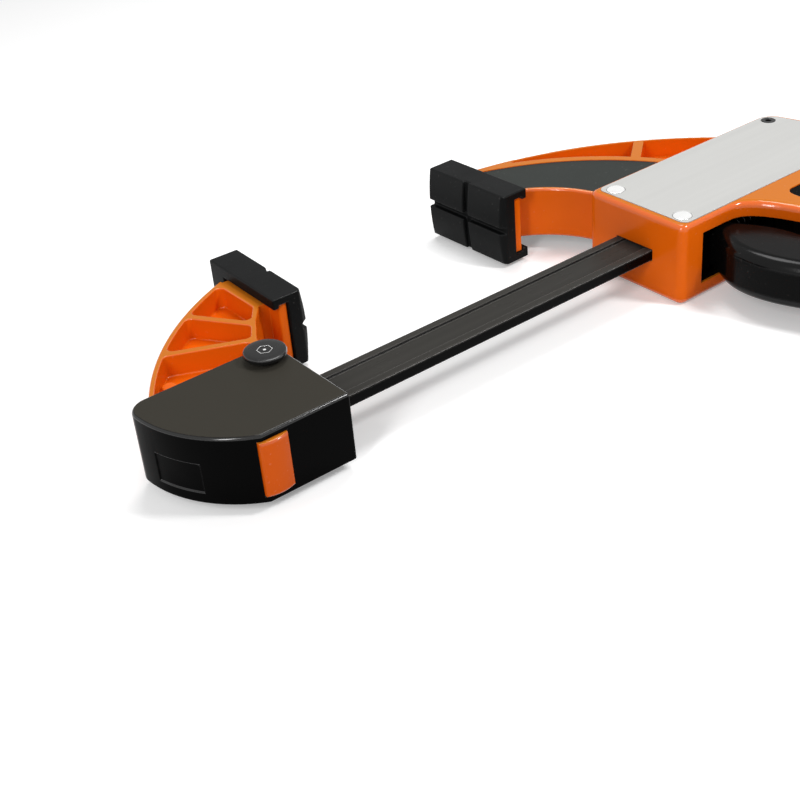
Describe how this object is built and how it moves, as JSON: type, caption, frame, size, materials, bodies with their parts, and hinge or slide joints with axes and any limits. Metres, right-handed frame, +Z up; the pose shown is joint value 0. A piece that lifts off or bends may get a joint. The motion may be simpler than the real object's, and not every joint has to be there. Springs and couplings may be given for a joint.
{
  "type": "quick release bar clamp",
  "caption": "Quick release bar clamp with a fixed jaw on one end of a flat bar and a sliding jaw with side plates, pistol handle, trigger and release lever.",
  "frame": {"origin": "on the outer face of the lower side plate, under the bar's centre line, 60 mm behind the sliding body's front face", "axes": "+X along the bar from the fixed head to its tail, +Y from the bar towards the jaw pads, +Z up, away from the face that the clamp lies on"},
  "size_m": [0.404, 0.2281, 0.0366],
  "materials": {
    "orange_plastic": "satin gloss",
    "black_plastic": "gloss",
    "bar_steel": "black oxide, satin gloss",
    "plate_metal": "satin",
    "bright_steel": "polished",
    "black_steel": "black oxide, satin",
    "spring_steel": "drawn wire",
    "pad_rubber": "matt",
    "inlay_grey": "matt",
    "grip_rubber": "satin"
  },
  "bodies": {
    "bar": {"bar": "bar_steel", "bar_end_pin": "bright_steel", "head_cover": "black_plastic", "head_base": "black_plastic", "fixed_jaw": "orange_plastic", "fixed_jaw_pad": "pad_rubber", "head_screws": "black_steel", "jaw_pin": "black_steel", "jaw_pin_nut": "bright_steel", "button_spring": "spring_steel"},
    "head_button": {"release_button": "orange_plastic", "latch_plate": "bright_steel"},
    "slider": {"body_frame": "orange_plastic", "side_plate_upper": "plate_metal", "side_plate_lower": "plate_metal", "arm_insert_upper": "inlay_grey", "arm_insert_lower": "inlay_grey", "grip_inlay_upper": "grip_rubber", "grip_inlay_lower": "grip_rubber", "sliding_jaw_pad": "pad_rubber", "plate_rivets": "bright_steel", "plate_screws": "black_steel", "trigger_pin": "bright_steel", "release_pin": "bright_steel", "drive_spring": "spring_steel", "brake_spring": "spring_steel"},
    "trigger": {"trigger": "black_plastic"},
    "drive_plate": {"drive_plate": "bright_steel"},
    "release_lever": {"release_lever": "black_plastic"},
    "brake_plate": {"brake_plate": "bright_steel"}
  },
  "joints": [
    {"name": "jaw_slide", "type": "slide", "parent": "bar", "child": "slider", "axis": [1, 0, 0], "range_m": [-0.102, 0.045]},
    {"name": "button_press", "type": "slide", "parent": "bar", "child": "head_button", "axis": [0, 1, 0], "range_m": [0, 0.0035], "stiffness_N_per_m": 1500, "springref_m": -0.002, "deforming": ["button_spring"]},
    {"name": "trigger_pull", "type": "hinge", "parent": "slider", "child": "trigger", "pos_m": [-0.03, 0.0155, 0.0183], "axis": [0, 0, 1], "range_deg": [0, 22.5], "stiffness_Nm_per_rad": 1.5, "springref_deg": -17.19},
    {"name": "drive_slide", "type": "slide", "parent": "slider", "child": "drive_plate", "axis": [1, 0, 0], "range_m": [0, 0.011], "deforming": ["drive_spring"]},
    {"name": "release_press", "type": "hinge", "parent": "slider", "child": "release_lever", "pos_m": [0.038, -0.0226, 0.0183], "axis": [0, 0, 1], "range_deg": [-11, 0], "stiffness_Nm_per_rad": 0.8, "springref_deg": 11.46},
    {"name": "brake_tilt", "type": "hinge", "parent": "slider", "child": "brake_plate", "pos_m": [0.03005, 0.017, 0.0183], "axis": [0, 0, 1], "range_deg": [0, 3], "deforming": ["brake_spring"]}
  ],
  "couplings": [
    {"joint": "drive_slide", "follows": "trigger_pull", "m_per_rad": 0.028},
    {"joint": "brake_tilt", "follows": "release_press", "ratio": -0.2727}
  ]
}
